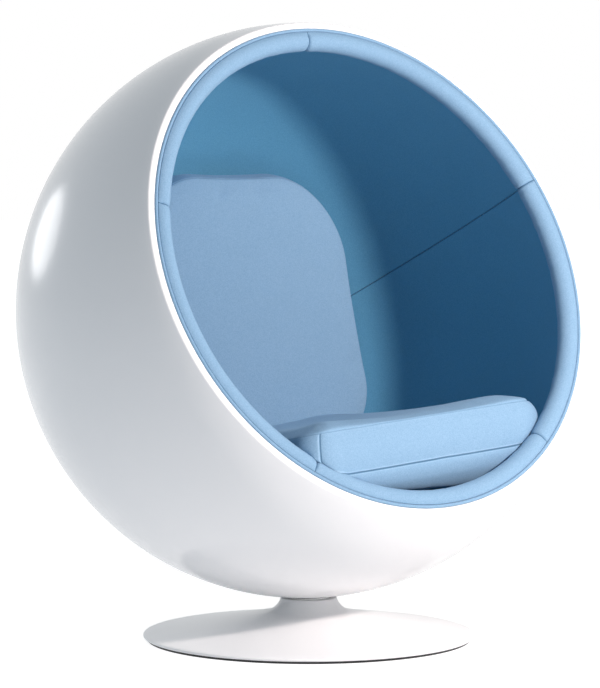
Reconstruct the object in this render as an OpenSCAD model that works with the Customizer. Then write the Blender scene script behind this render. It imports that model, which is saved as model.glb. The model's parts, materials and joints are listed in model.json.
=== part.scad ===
// Pod chair: a moulded ball with a slanting round opening, lined and padded inside,
// turning on a trumpet base. The chair faces -Y, +Z is up, and the origin is on the floor
// on the swivel axis. All lengths are millimetres and all angles degrees.

/* [Ball shell] */
// Outside diameter of the moulded ball
ball_d = 1100; // [1070:5:1150]
// Thickness of the moulded wall
shell_wall = 7; // [5:0.5:9]
// How far the ball's centre sits behind the swivel axis
ball_back = 17; // [5:1:22]
// Distance from the ball's centre to the plane of the opening
opening_off = 246.5; // [225:0.5:265]
// How far the opening leans back from upright
opening_tilt = 23.5; // [18:0.5:28]
// Width of the lip's flat front face
lip_w = 12; // [10:0.5:16]
// Depth of the thickened edge behind the lip
lip_depth = 22.5; // [20:0.5:28]
// Rounding of the lip's outer corner
lip_round = 5; // [3:0.5:7]

/* [Lining] */
// Thickness of the foam glued to the shell
foam_t = 25; // [18:0.5:30]
// Thickness of the woven cover
fabric_t = 2.5; // [1.5:0.1:3.5]
// Diameter of the padded roll round the opening
roll_d = 40; // [34:1:46]
// How far the roll's centre lies inside the opening's plane
roll_set = 16; // [14:0.5:20]
// Diameter of the piping cord beside the lip
piping_d = 6.6; // [5:0.2:8]
// How far the piping's centre lies inside the opening's plane
piping_set = 1; // [0:0.5:3]
// Width of the tacking batten behind the piping
batten_w = 13.5; // [10:0.5:15]
// Number of panels sewn together to make the lining
panel_count = 5; // [4:1:6]
// How far the panels are turned off square about the opening's axis
panel_turn = 2.4; // [-6:0.2:6]

/* [Seat cushion] */
// Width across the seat cushion between its end seams
seat_w = 588; // [560:4:616]
// Depth of the seat cushion from front to back
seat_depth = 620; // [600:5:640]
// Radius of the seat cushion's corners
seat_corner = 78; // [60:2:110]
// Height of the boxing band between its two seams
seat_band = 83; // [75:1:95]
// How far the top panel swells above its seam
seat_crown = 9; // [7:1:14]
// How much further it swells towards its ends
seat_end_crown = 27; // [10:1:32]
// How full the top panel stays up to its front and rear seams
seat_fullness = 14; // [6:1:18]
// How full it stays up to its end seams
seat_end_fullness = 3; // [2:0.5:5]
// How far the underside swells below its seam
seat_belly = 64; // [50:1:80]
// How full the underside stays up to its seam
seat_belly_fullness = 12; // [6:1:16]
// How far the band puffs out at the front and back
seat_puff = 13; // [6:1:16]
// How far the band puffs out at the right end
seat_end_puff = 33; // [16:1:38]
// How far it puffs out at the left end, which is pressed in
seat_left_puff = 12; // [6:1:20]
// Where the front is widest, from -1 at its lower seam to 1 at its upper
seat_widest = -0.6; // [-0.7:0.1:0]
// Depth of the band's mid height below the ball's centre
seat_drop = 274; // [264:1:286]
// How far the cushion's middle sits in front of the ball's centre
seat_forward = 49; // [40:1:60]
// How far the cushion's middle sits to the right of the ball's centre
seat_aside = 9; // [0:1:15]
// Slope of the seat down towards the back
seat_tilt = 8; // [6:0.5:10]
// Slope of the seat up towards its right end, as it is laid in
seat_cant = 3.6; // [0:0.2:5]
// How far the cushion is turned in the bowl, as it is laid in
seat_turn = 4; // [0:0.5:6]
// How far its front and back edges are raised above its middle
seat_bow = 12; // [0:1:18]
// How far each side is drawn in between the corners
seat_draw = 7; // [2:1:12]

/* [Back cushion] */
// Width of the back cushion at half height
back_w = 538; // [500:2:570]
// Height of the back cushion
back_h = 580; // [560:2:592]
// Radius of the back cushion's corners
back_corner = 164; // [110:2:190]
// How much narrower its top is than its middle, and its foot wider
back_taper_share = 0.18; // [0:0.01:0.22]
// Thickness between its front and rear seams
back_t = 96; // [80:2:110]
// How far its front panel swells past the seam
back_crown = 17; // [10:1:26]
// How far its rear panel swells into the bowl
back_belly = 30; // [20:1:44]
// How far its band puffs out
back_puff = 7; // [4:1:14]
// Distance from the ball's centre to the front seam
back_off = 295; // [285:1:310]
// Depth of its middle below the ball's centre
back_drop = 33; // [26:1:40]
// How far it leans back
back_lean = 2.5; // [0:0.5:6]
// How far it is turned in the bowl, as it is laid in
back_turn = 10.5; // [0:0.5:12]
// How far each side is drawn in between the corners
back_draw = 2; // [0:1:10]

/* [Seat support] */
// Diameter of the firm foam block under the seat cushion
support_d = 560; // [500:10:600]
// Depth of the block's top below the ball's centre
support_drop = 360; // [350:1:372]

/* [Base] */
// Diameter of the trumpet base
base_d = 637; // [600:1:680]
// Height of the rim's underside above the floor
rim_lift = 4.9; // [4:0.1:6]
// Thickness of the base at its rim
rim_t = 5.8; // [5:0.2:8]
// Height of the neck's top above the floor
neck_top = 79; // [77:0.5:84]
// Diameter of the neck's waist
neck_d = 104.6; // [102:0.2:112]
// Radius of the flare from the neck into the disc
flare_r = 39; // [34:1:44]
// Rise of the disc from its rim to the flare
disc_rise = 40; // [36:1:44]
// Slope of the disc where it leaves the flare
disc_slope = 13; // [11:0.5:16]
// Slope of the disc at its rim
rim_slope = 7; // [4:0.5:9]
// Thickness of the cast wall
cast_wall = 6; // [4.5:0.5:8]
// Diameter of the hub under the neck
hub_d = 68; // [60:1:76]
// Height of the hub's underside above the floor
hub_low = 19; // [17.5:0.5:21]

/* [Floor plate and foot ring] */
// Thickness of the steel floor plate
plate_t = 3; // [2:0.2:3.4]
// Width of the ledge that carries the plate
ledge_w = 10; // [8:0.5:14]
// Number of screws that hold the plate
plate_screw_count = 8; // [6:1:12]
// Diameter of a plate screw
plate_screw_d = 4; // [3:0.5:5]
// Length of a plate screw under its head
plate_screw_len = 7; // [5:0.5:7.5]
// Width of the rubber foot ring
foot_w = 8; // [6:0.5:9]
// Distance from the base's edge to the foot ring
foot_inset = 7; // [5:0.5:9]
// How deep the foot ring sits in its groove
foot_groove = 2; // [1:0.2:2.6]

/* [Swivel] */
// Height of the bearing's seat above the floor
bearing_floor = 44; // [43:0.5:46]
// Outside diameter of the thrust bearing
bearing_d = 84; // [82:0.5:86]
// Bore of the thrust bearing
bearing_bore = 44; // [42:0.5:46]
// Thickness of a bearing race
race_t = 4.5; // [4:0.1:5]
// Diameter of a bearing ball
bearing_ball_d = 8; // [7:0.2:8.4]
// Number of bearing balls
bearing_ball_count = 14; // [10:1:16]
// Depth of the groove in each race
groove_depth = 1.5; // [1:0.1:2]
// Thickness of the ball cage
cage_t = 2.6; // [2:0.1:3]
// Diameter of the spindle
spindle_d = 40; // [36:0.5:41]
// Wall of the spindle's bushes
bush_wall = 4; // [3:0.5:5]
// Length of each bush
bush_len = 11.5; // [9:0.5:12]
// Diameter of the spindle's threaded end
stud_d = 20; // [16:1:22]
// Diameter of the bolt in the spindle's foot
foot_bolt_d = 12; // [10:1:14]
// Thickness of the washer under the spindle
foot_washer_t = 3; // [2:0.5:4]
// Diameter of the washer under the spindle
foot_washer_d = 60; // [54:1:64]

/* [Ball mounting] */
// Thickness of the rubber bedding pad under the ball
bedding_t = 1.5; // [1:0.1:2]
// Gap between the neck and the ball's lowest point
ball_gap = 1; // [0.8:0.1:2]
// Diameter of the spreader plate inside the ball
spreader_d = 160; // [150:1:170]
// Height of the spreader plate's top above the shell's inside
spreader_t = 9; // [8:0.5:10]
// Diameter of the ring of mounting bolts
bolt_circle = 60; // [58:0.5:64]
// Diameter of a mounting bolt
bolt_d = 8; // [6:0.5:8.5]
// Number of mounting bolts
bolt_count = 4; // [3:1:6]

/* [Hidden] */

// Clearances: between glued layers, round a running shaft, round a screw, and free play
layer_gap = 0.1;
running_gap = 0.05;
screw_gap = 0.5;
thread_gap = 0.03;
play = 0.3;
// Overrun of every cut past the solid it cuts
over = 5;

// Facet counts: big turned surfaces, small turned surfaces, hexagons
big_fn = 240;
arc_fn = 720;
small_fn = 64;
hex_fn = 6;

white = "#f4f4f2";
cloth = "#8fb8de";
steel = "#b9bdc2";
black = "#26282b";
foam_tint = "#e8dfae";

// Ball and opening
ball_r = ball_d / 2;
shell_in = ball_r - shell_wall;
ball_z = neck_top + ball_gap + ball_r;
ball_c = [0, ball_back, ball_z];
opening_r = sqrt(pow(ball_r, 2) - pow(opening_off, 2));
lip_in = opening_r - lip_w;
facing = [0, -cos(opening_tilt), sin(opening_tilt)];

// Lining layers from the shell inwards
foam_out = shell_in - layer_gap;
foam_in = foam_out - foam_t;
fabric_out = foam_in - layer_gap;
bowl_r = fabric_out - fabric_t;

// The roll's centre in the section plane: distance from the opening's axis, then along it
roll_r = roll_d / 2;
roll_h = opening_off - roll_set;
roll_x = sqrt(pow(bowl_r, 2) - pow(roll_h, 2));
roll_inner = roll_r - fabric_t;
piping_r = piping_d / 2;
piping_x = lip_in - layer_gap - piping_r;
piping_h = opening_off - piping_set;

// The cover leaves the roll beside the piping and joins the wall behind the roll
piping_reach = norm([piping_x - roll_x, piping_h - roll_h]);
piping_miss = piping_r + 2 * layer_gap;
cover_end = atan2(piping_h - roll_h, piping_x - roll_x)
    + acos((pow(roll_r, 2) + pow(piping_reach, 2) - pow(piping_miss, 2))
        / (2 * roll_r * piping_reach));
wall_way = atan2(-roll_x, roll_h);
cover_lap = 8;
batten_top = piping_h - piping_r - layer_gap;
batten_low = opening_off - lip_depth;
batten_in = lip_in - layer_gap - batten_w;
panel_slit = 0.04;
panel_angle = 360 / panel_count;

// Base heights
base_r = base_d / 2;
rim_top = rim_lift + rim_t;
neck_r = neck_d / 2;
flare_c = [neck_r + flare_r, rim_top + disc_rise + flare_r];
bearing_r = bearing_d / 2;
recess_r = bearing_r + 5 * play;
hub_r = hub_d / 2;
plate_r = base_r - foot_inset - foot_w - 3 * play;
foot_r = base_r - foot_inset;
ledge_r = plate_r - ledge_w;

// Swivel heights
spindle_r = spindle_d / 2;
bush_bore_r = spindle_r + running_gap;
bush_r = spindle_r + bush_wall;
ball_ring_r = (bearing_d + bearing_bore) / 4;
rolling_r = bearing_ball_d / 2;
rolling_z = bearing_floor + race_t + rolling_r - groove_depth;
upper_race_z = rolling_z + rolling_r - groove_depth;
saddle_z = upper_race_z + race_t;
saddle_r = bearing_r + play;
spindle_foot = hub_low - play;
stud_r = stud_d / 2;
nut_across_share = 1.5;
nut_t_share = 0.4;
nut_t = nut_t_share * stud_d;
nut_z = saddle_z + nut_t;
nut_corner = nut_across_share * stud_d / sqrt(3);
foot_bolt_r = foot_bolt_d / 2;
foot_head_share = 0.5;
foot_head_t = foot_head_share * foot_bolt_d;
foot_shank = 2.4 * foot_bolt_d;

// Ball mounting heights
bolt_r = bolt_d / 2;
spreader_top = ball_z - shell_in + spreader_t;
washer_t_share = 0.2;
washer_t = washer_t_share * bolt_d;
bolt_head_share = 0.75;
bolt_head_t = bolt_head_share * bolt_d;
washer_r = bolt_d;
bolt_tip = saddle_z + bolt_d / 2;
pocket_top = spreader_top + washer_t + bolt_head_t + play;

// Seat support
support_r = support_d / 2;
rest_gap = 0.5;

// Frames and small helpers

module in_ball() translate(ball_c) children();

module on_opening() in_ball() rotate([90 - opening_tilt, 0, 0]) children();

module half_disc(r) {
    intersection() {
        circle(r, $fn = arc_fn);
        translate([0, -r]) square([r, 2 * r]);
    }
}

module turned_ring(r_in, r_out, z_low, z_high) {
    translate([0, 0, z_low]) difference() {
        cylinder(r = r_out, h = z_high - z_low, $fn = small_fn);
        translate([0, 0, -over]) cylinder(r = r_in, h = z_high - z_low + 2 * over, $fn = small_fn);
    }
}

module around(count, r) {
    for (i = [0 : count - 1]) rotate([0, 0, (i + 0.5) * 360 / count]) translate([r, 0, 0]) children();
}

function polar(c, r, a) = [c[0] + r * cos(a), c[1] + r * sin(a)];

function bezier(a, b, c, t) = a * pow(1 - t, 2) + b * 2 * t * (1 - t) + c * pow(t, 2);

// Base

flare_steps = 14;
disc_steps = 12;
flare_pts = [for (i = [0 : flare_steps])
    let(a = 180 + i * (90 - disc_slope) / flare_steps) polar(flare_c, flare_r, a)];
neck_pts = [for (p = flare_pts) if (p[1] < neck_top) p];
neck_edge = [flare_c[0] - sqrt(pow(flare_r, 2) - pow(flare_c[1] - neck_top, 2)), neck_top];
disc_start = flare_pts[flare_steps];
disc_end = [base_r - rim_t / 4, rim_top];
disc_bend_x = (disc_end[1] - disc_start[1] + disc_start[0] * -tan(disc_slope) + disc_end[0] * tan(rim_slope))
    / (tan(rim_slope) - tan(disc_slope));
disc_bend = [disc_bend_x, disc_end[1] + (disc_end[0] - disc_bend_x) * tan(rim_slope)];
disc_pts = [for (i = [1 : disc_steps]) bezier(disc_start, disc_bend, disc_end, i / disc_steps)];
rim_pts = [[base_r, rim_top - rim_t / 4], [base_r, rim_lift + rim_t / 4], [base_r - rim_t / 4, rim_lift]];
hollow_top = bearing_floor - cast_wall;

module trumpet_profile() {
    difference() {
        polygon(concat([[0, neck_top], neck_edge], neck_pts, disc_pts, rim_pts, [[0, rim_lift]]));
        polygon(concat(
            [[hub_r, rim_lift + plate_t], [hub_r, hollow_top]],
            [for (p = disc_pts) if (p[0] < ledge_r && p[1] - cast_wall > rim_lift + plate_t)
                [p[0], min(hollow_top, p[1] - cast_wall)]],
            [[ledge_r, rim_lift + plate_t]]));
        translate([0, rim_lift - over]) square([plate_r + play, plate_t + over]);
        translate([0, rim_lift - over]) square([hub_r, hub_low - rim_lift + over]);
        translate([foot_r - foot_w, rim_lift - over]) square([foot_w, foot_groove + over]);
        translate([0, rim_lift]) square([bush_r + thread_gap, neck_top]);
        translate([0, bearing_floor]) square([recess_r, neck_top]);
    }
}

module base_trumpet() {
    color(white) difference() {
        rotate_extrude($fn = big_fn) trumpet_profile();
        around(plate_screw_count, plate_r - ledge_w / 2)
            cylinder(r = plate_screw_d / 2 + thread_gap,
                h = rim_lift + plate_t + plate_screw_len, $fn = small_fn);
    }
}

module foot_ring() {
    color(black) rotate_extrude($fn = big_fn)
        translate([foot_r - foot_w + layer_gap, 0])
            square([foot_w - 2 * layer_gap, rim_lift + foot_groove]);
}

module floor_plate() {
    color(black) difference() {
        translate([0, 0, rim_lift]) cylinder(r = plate_r, h = plate_t, $fn = big_fn);
        around(plate_screw_count, plate_r - ledge_w / 2)
            cylinder(r = plate_screw_d / 2 + screw_gap / 2, h = neck_top, $fn = small_fn);
    }
}

module floor_plate_screws() {
    head_share = 0.9;
    head_t_share = 0.55;
    color(steel) around(plate_screw_count, plate_r - ledge_w / 2) {
        translate([0, 0, rim_lift - head_t_share * plate_screw_d])
            cylinder(r = head_share * plate_screw_d, h = head_t_share * plate_screw_d, $fn = small_fn);
        translate([0, 0, rim_lift]) cylinder(r = plate_screw_d / 2, h = plate_screw_len, $fn = small_fn);
    }
}

// Swivel

module lower_bush() {
    color("#c9a55c") turned_ring(bush_bore_r, bush_r, hub_low, hub_low + bush_len);
}

module upper_bush() {
    color("#c9a55c") turned_ring(bush_bore_r, bush_r, bearing_floor - bush_len, bearing_floor);
}

module race(z_low) {
    difference() {
        turned_ring(bearing_bore / 2, bearing_r, z_low, z_low + race_t);
        translate([0, 0, rolling_z]) rotate_extrude($fn = big_fn)
            translate([ball_ring_r, 0]) circle(rolling_r + play, $fn = small_fn);
    }
}

module lower_race() color(steel) race(bearing_floor);

module upper_race() color(steel) race(upper_race_z);

module bearing_cage() {
    color("#c9a55c") difference() {
        turned_ring(ball_ring_r - 0.75 * bearing_ball_d, ball_ring_r + 0.75 * bearing_ball_d,
            rolling_z - cage_t / 2, rolling_z + cage_t / 2);
        around(bearing_ball_count, ball_ring_r)
            cylinder(r = rolling_r + layer_gap, h = 2 * neck_top, $fn = small_fn);
    }
}

module bearing_balls() {
    color(steel) around(bearing_ball_count, ball_ring_r)
        translate([0, 0, rolling_z]) sphere(rolling_r, $fn = small_fn);
}

module spindle() {
    color(steel) difference() {
        union() {
            translate([0, 0, spindle_foot])
                cylinder(r = spindle_r, h = saddle_z - spindle_foot, $fn = small_fn);
            translate([0, 0, saddle_z - play])
                cylinder(r = stud_r, h = 2 * nut_t + play, $fn = small_fn);
        }
        translate([0, 0, spindle_foot - over])
            cylinder(r = foot_bolt_r + thread_gap, h = foot_shank + over, $fn = small_fn);
    }
}

module spindle_nut() {
    color(steel) difference() {
        translate([0, 0, nut_z]) cylinder(r = nut_corner, h = nut_t, $fn = hex_fn);
        translate([0, 0, nut_z - over])
            cylinder(r = stud_r + thread_gap, h = nut_t + 2 * over, $fn = small_fn);
    }
}

module foot_washer() {
    color(steel) turned_ring(foot_bolt_r + screw_gap, foot_washer_d / 2,
        spindle_foot - foot_washer_t, spindle_foot);
}

module foot_bolt() {
    color(steel) {
        translate([0, 0, spindle_foot - foot_washer_t - foot_head_t])
            cylinder(r = foot_bolt_d * 0.75 * 2 / sqrt(3), h = foot_head_t, $fn = hex_fn);
        translate([0, 0, spindle_foot - foot_washer_t])
            cylinder(r = foot_bolt_r, h = foot_washer_t + foot_shank - foot_bolt_r, $fn = small_fn);
    }
}

// Ball mounting

module saddle() {
    color("#cfd2d4") difference() {
        translate([0, 0, saddle_z]) cylinder(r = saddle_r, h = ball_gap + neck_top - saddle_z + bedding_t,
            $fn = small_fn);
        in_ball() sphere(ball_r + bedding_t + 2 * layer_gap, $fn = big_fn);
        translate([0, 0, saddle_z - over]) cylinder(r = stud_r + thread_gap, h = neck_top, $fn = small_fn);
        translate([0, 0, nut_z]) cylinder(r = nut_corner + 2 * play, h = neck_top, $fn = small_fn);
        translate([0, 0, bolt_tip - play]) around(bolt_count, bolt_circle / 2)
            cylinder(r = bolt_r + thread_gap, h = neck_top, $fn = small_fn);
    }
}

module bedding_pad() {
    color(black) difference() {
        intersection() {
            translate([0, 0, saddle_z]) cylinder(r = saddle_r, h = neck_top, $fn = small_fn);
            in_ball() sphere(ball_r + bedding_t + layer_gap, $fn = big_fn);
        }
        in_ball() sphere(ball_r + layer_gap, $fn = big_fn);
        translate([0, 0, saddle_z]) cylinder(r = nut_corner + 2 * play, h = neck_top, $fn = small_fn);
        translate([0, 0, saddle_z]) around(bolt_count, bolt_circle / 2)
            cylinder(r = bolt_r + screw_gap, h = neck_top, $fn = small_fn);
    }
}

module spreader_plate() {
    color(steel) difference() {
        intersection() {
            translate([0, 0, saddle_z]) cylinder(r = spreader_d / 2, h = spreader_top - saddle_z,
                $fn = small_fn);
            in_ball() sphere(shell_in - layer_gap, $fn = big_fn);
        }
        translate([0, 0, saddle_z]) around(bolt_count, bolt_circle / 2)
            cylinder(r = bolt_r + screw_gap, h = ball_r, $fn = small_fn);
    }
}

module mounting_washers() {
    color(steel) around(bolt_count, bolt_circle / 2)
        turned_ring(bolt_r + screw_gap / 2, washer_r, spreader_top, spreader_top + washer_t);
}

module mounting_bolts() {
    color(steel) around(bolt_count, bolt_circle / 2) {
        translate([0, 0, bolt_tip])
            cylinder(r = bolt_r, h = spreader_top + washer_t - bolt_tip, $fn = small_fn);
        translate([0, 0, spreader_top + washer_t])
            cylinder(r = bolt_d * 0.75 * 2 / sqrt(3), h = bolt_head_t, $fn = hex_fn);
    }
}

// Shell

round_c = [sqrt(pow(ball_r - lip_round, 2) - pow(opening_off - lip_round, 2)), opening_off - lip_round];

module shell_profile() {
    difference() {
        union() {
            difference() {
                half_disc(ball_r);
                half_disc(shell_in);
            }
            intersection() {
                half_disc(ball_r);
                translate([lip_in, opening_off - lip_depth]) square([ball_r, lip_depth]);
            }
        }
        translate([-over, opening_off]) square([ball_d, ball_d]);
        polygon([round_c, [round_c[0], opening_off + over], [ball_r, opening_off + over],
            round_c * ((ball_r + over) / norm(round_c))]);
    }
    translate(round_c) circle(lip_round, $fn = small_fn);
}

module shell() {
    color(white) difference() {
        on_opening() rotate_extrude($fn = big_fn) shell_profile();
        around(bolt_count, bolt_circle / 2)
            cylinder(r = bolt_r + screw_gap, h = ball_z, $fn = small_fn);
    }
}

// Lining

module liner_foam() {
    color(foam_tint) difference() {
        on_opening() rotate_extrude($fn = big_fn) difference() {
            half_disc(foam_out);
            half_disc(foam_in);
            translate([-over, batten_low - layer_gap]) square([ball_d, ball_d]);
            translate([roll_x, roll_h]) circle(roll_r + layer_gap, $fn = small_fn);
        }
        translate([0, 0, saddle_z])
            cylinder(r = spreader_d / 2 + play, h = pocket_top - saddle_z, $fn = small_fn);
    }
}

module cover_profile() {
    difference() {
        half_disc(fabric_out);
        half_disc(bowl_r);
        rotate(wall_way) translate([-ball_d, -ball_d]) square([ball_d + roll_r - fabric_t / 2, 2 * ball_d]);
    }
    translate([roll_x, roll_h]) difference() {
        circle(roll_r, $fn = arc_fn);
        circle(roll_inner, $fn = arc_fn);
        polygon([[0, 0], roll_d * [cos(wall_way + cover_lap), sin(wall_way + cover_lap)],
            [2 * roll_d, 0], roll_d * [cos(cover_end), sin(cover_end)]]);
    }
}

module liner_panel(k) {
    on_opening() rotate([0, 0, 90 + panel_turn + (k - 1) * panel_angle + panel_slit])
        rotate_extrude(angle = panel_angle - 2 * panel_slit, $fn = big_fn) cover_profile();
}

module liner_panel_1() color(cloth) liner_panel(1);
module liner_panel_2() color(cloth) liner_panel(2);
module liner_panel_3() color(cloth) liner_panel(3);
module liner_panel_4() color(cloth) liner_panel(4);
module liner_panel_5() color(cloth) liner_panel(5);

module roll_core() {
    color(foam_tint) on_opening() rotate_extrude($fn = big_fn) difference() {
        translate([roll_x, roll_h]) circle(roll_inner - layer_gap, $fn = small_fn);
        translate([batten_in - layer_gap, batten_low - layer_gap]) square([roll_d, roll_d]);
    }
}

module rim_batten() {
    color("#c8a878") on_opening() rotate_extrude($fn = big_fn)
        translate([batten_in, batten_low]) square([batten_w, batten_top - batten_low]);
}

module rim_piping() {
    color(cloth) on_opening() rotate_extrude($fn = big_fn)
        translate([piping_x, piping_h]) circle(piping_r, $fn = small_fn);
}

module seat_support() {
    color(foam_tint) intersection() {
        in_ball() sphere(bowl_r - layer_gap, $fn = big_fn);
        translate([0, ball_back, ball_z - ball_r]) cylinder(r = support_r, h = ball_r, $fn = big_fn);
        in_ball() rotate([-seat_tilt, 0, 0]) translate([-ball_r, -ball_r, -support_drop - ball_d])
            cube([ball_d, ball_d, ball_d]);
    }
}

// Cushion forms. A form is a stack of rings: the rear or lower panel from its middle out to
// its seam, the boxing band, and the front or upper panel back in to its middle.

corner_steps = 4;
side_steps = 8;
ring_steps = 4 * (corner_steps + side_steps);
panel_shares = [0.2, 0.4, 0.57, 0.71, 0.82, 0.91, 0.97, 1];
band_shares = [0.15, 0.4, 0.6, 0.85];
panel_rings = len(panel_shares);
level_count = 2 * panel_rings + len(band_shares);

// A point of a rounded rectangle with the direction it faces: first on a corner, then on the
// side that follows it, drawn in between the corners
function corner_point(q, half, corner, k) =
    let(a = 90 * (q + k / corner_steps))
    [(q == 0 || q == 3 ? 1 : -1) * (half[0] - corner) + corner * cos(a),
        (q < 2 ? 1 : -1) * (half[1] - corner) + corner * sin(a), cos(a), sin(a)];

function side_point(q, half, corner, draw, k) =
    let(a = corner_point(q, half, corner, corner_steps),
        b = corner_point((q + 1) % 4, half, corner, 0),
        u = k / side_steps,
        pull = draw * (1 - pow(2 * u - 1, 2)))
    [a[0] + (b[0] - a[0]) * u - pull * a[2], a[1] + (b[1] - a[1]) * u - pull * a[3], a[2], a[3]];

function outline(half, corner, draw) = [for (q = [0 : 3]) each concat(
    [for (k = [0 : corner_steps]) corner_point(q, half, corner, k)],
    [for (k = [1 : side_steps - 1]) side_point(q, half, corner, draw, k)])];

// A level's share of the outline and its height, from -1 at the lower seam to 1 at the upper
function level_share(j) = j < panel_rings ? panel_shares[j]
    : j < panel_rings + len(band_shares) ? 1 : panel_shares[level_count - 1 - j];

function level_height(j) = j < panel_rings ? -1
    : j < panel_rings + len(band_shares) ? 2 * band_shares[j - panel_rings] - 1 : 1;

function swell(level) = 1 - pow(level, 2);

function dome(share, fullness) = sqrt(1 - pow(share, fullness));

function ring_faces(count, levels) = concat(
    [for (j = [0 : levels - 2]) for (i = [0 : count - 1]) for (half = [0, 1])
        let(a = j * count + i, b = j * count + (i + 1) % count)
        half == 0 ? [a, a + count, b] : [b, a + count, b + count]],
    [for (i = [0 : count - 1]) [levels * count, i, (i + 1) % count]],
    [for (i = [0 : count - 1])
        [levels * count + 1, (levels - 1) * count + (i + 1) % count, (levels - 1) * count + i]]);

// Where a soft form meets its neighbours it gives way to them

function in_bowl(p) = let(q = p - ball_c, m = norm(q))
    m > bowl_r - rest_gap ? ball_c + q * (bowl_r - rest_gap) / m : p;

rim_way_share = 0.7;
rim_way = [sqrt(1 - pow(rim_way_share, 2)), rim_way_share];
rim_reach = rim_way * [roll_x, roll_h] - roll_r - rest_gap;

function behind_rim(p) =
    let(q = p - ball_c, h = q * facing, side = q - h * facing, x = norm(side),
        excess = rim_way * [x, h] - rim_reach)
    excess > 0 ? p - excess * (rim_way[0] * side / x + rim_way[1] * facing) : p;

support_up = [0, sin(seat_tilt), cos(seat_tilt)];

function on_support(p) = let(depth = (p - ball_c) * support_up + support_drop - rest_gap)
    depth < 0 ? p - depth * support_up : p;

back_way = [sin(back_turn), cos(back_turn), 0];

function before_back(p) =
    let(excess = (p - ball_c) * back_way - (back_off - back_crown - rest_gap
        + tan(back_lean) * (p[2] - ball_z)))
    excess > 0 ? p - excess * back_way : p;

// Seat cushion

seat_outline = outline([seat_w / 2, seat_depth / 2], seat_corner, seat_draw);
// The ends' roundness, and how the top panel falls away before it reaches them
end_roundness = 0.7;
end_fall_share = 0.97;
end_fall_fullness = 6;

function seat_point(edge, share, level) =
    let(end_puff = (edge[2] > 0 ? seat_end_puff : seat_left_puff) * pow(swell(level), end_roundness),
        puff = seat_puff * (1 - pow((level - seat_widest) / (1 - seat_widest), 2)),
        x = edge[0] * share + edge[2] * end_puff,
        y = (edge[1] + edge[3] * puff) * share,
        endward = min(abs(x) / (seat_w / 2), 1),
        height = (seat_crown + seat_end_crown * pow(endward, 2))
            * dome(end_fall_share * endward, end_fall_fullness),
        fullness = seat_end_fullness + (seat_fullness - seat_end_fullness) * pow(edge[3], 2),
        panel = level == 1 ? height * dome(share, fullness)
            : level == -1 ? -seat_belly * dome(share, seat_belly_fullness) : 0,
        rise = seat_bow * pow(y / (seat_depth / 2), 2) - tan(seat_tilt) * y + tan(seat_cant) * x)
    ball_c + [seat_aside + cos(seat_turn) * x - sin(seat_turn) * y,
        sin(seat_turn) * x + cos(seat_turn) * y - seat_forward,
        level * seat_band / 2 + panel + rise - seat_drop];

function settled_seat(p) = on_support(in_bowl(behind_rim(before_back(p))));

module seat_cushion() {
    points = concat(
        [for (j = [0 : level_count - 1]) for (edge = seat_outline)
            settled_seat(seat_point(edge, level_share(j), level_height(j)))],
        [for (level = [-1, 1]) settled_seat(seat_point(seat_outline[0], 0, level))]);
    color(cloth) polyhedron(points, ring_faces(ring_steps, level_count));
}

// Back cushion

back_outline = outline([back_w / 2, back_h / 2], back_corner, back_draw);

function back_point(edge, share, level) =
    let(z = edge[1] * share + edge[3] * back_puff * swell(level),
        x = (edge[0] * share + edge[2] * back_puff * swell(level))
            * (1 - back_taper_share * z / (back_h / 2)),
        panel = level == 1 ? back_crown * dome(share, 3)
            : level == -1 ? -back_belly * dome(share, 3) : 0,
        depth = back_off + (1 - level) * back_t / 2 - panel + tan(back_lean) * (z - back_drop))
    ball_c + [cos(back_turn) * x + sin(back_turn) * depth,
        cos(back_turn) * depth - sin(back_turn) * x, z - back_drop];

module back_cushion() {
    points = concat(
        [for (j = [0 : level_count - 1]) for (edge = back_outline)
            in_bowl(back_point(edge, level_share(j), level_height(j)))],
        [for (level = [-1, 1]) in_bowl(back_point(back_outline[0], 0, level))]);
    color(cloth) polyhedron(points, ring_faces(ring_steps, level_count));
}

foot_ring();
base_trumpet();
floor_plate();
floor_plate_screws();
lower_bush();
upper_bush();
lower_race();
bearing_cage();
bearing_balls();
upper_race();
spindle();
spindle_nut();
foot_washer();
foot_bolt();
saddle();
bedding_pad();
shell();
spreader_plate();
mounting_bolts();
mounting_washers();
rim_batten();
liner_foam();
liner_panel_1();
liner_panel_2();
liner_panel_3();
liner_panel_4();
liner_panel_5();
roll_core();
rim_piping();
seat_support();
seat_cushion();
back_cushion();
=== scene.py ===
import json
import math

import bmesh
import bpy
import numpy as np
from mathutils import Matrix, Vector


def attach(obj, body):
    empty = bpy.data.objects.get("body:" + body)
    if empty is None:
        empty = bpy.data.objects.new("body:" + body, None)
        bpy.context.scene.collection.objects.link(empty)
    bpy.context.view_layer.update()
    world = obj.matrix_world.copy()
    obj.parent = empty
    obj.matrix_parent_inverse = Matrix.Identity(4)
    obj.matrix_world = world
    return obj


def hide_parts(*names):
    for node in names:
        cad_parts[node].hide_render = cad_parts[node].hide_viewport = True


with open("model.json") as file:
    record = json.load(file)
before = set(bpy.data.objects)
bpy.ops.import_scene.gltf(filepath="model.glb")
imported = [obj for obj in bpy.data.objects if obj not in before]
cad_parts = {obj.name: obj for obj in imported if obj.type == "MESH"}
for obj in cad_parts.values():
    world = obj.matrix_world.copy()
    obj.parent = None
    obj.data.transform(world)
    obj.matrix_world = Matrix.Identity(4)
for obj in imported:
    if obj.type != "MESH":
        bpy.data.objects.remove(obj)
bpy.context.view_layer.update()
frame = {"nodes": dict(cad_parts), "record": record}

# sizes, in millimetres
MM = 0.001
MERGE = 0.002  # points closer than this are one
SEAM_REACH = 30.0  # how far from a seam the cloth still knows its distance

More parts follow.
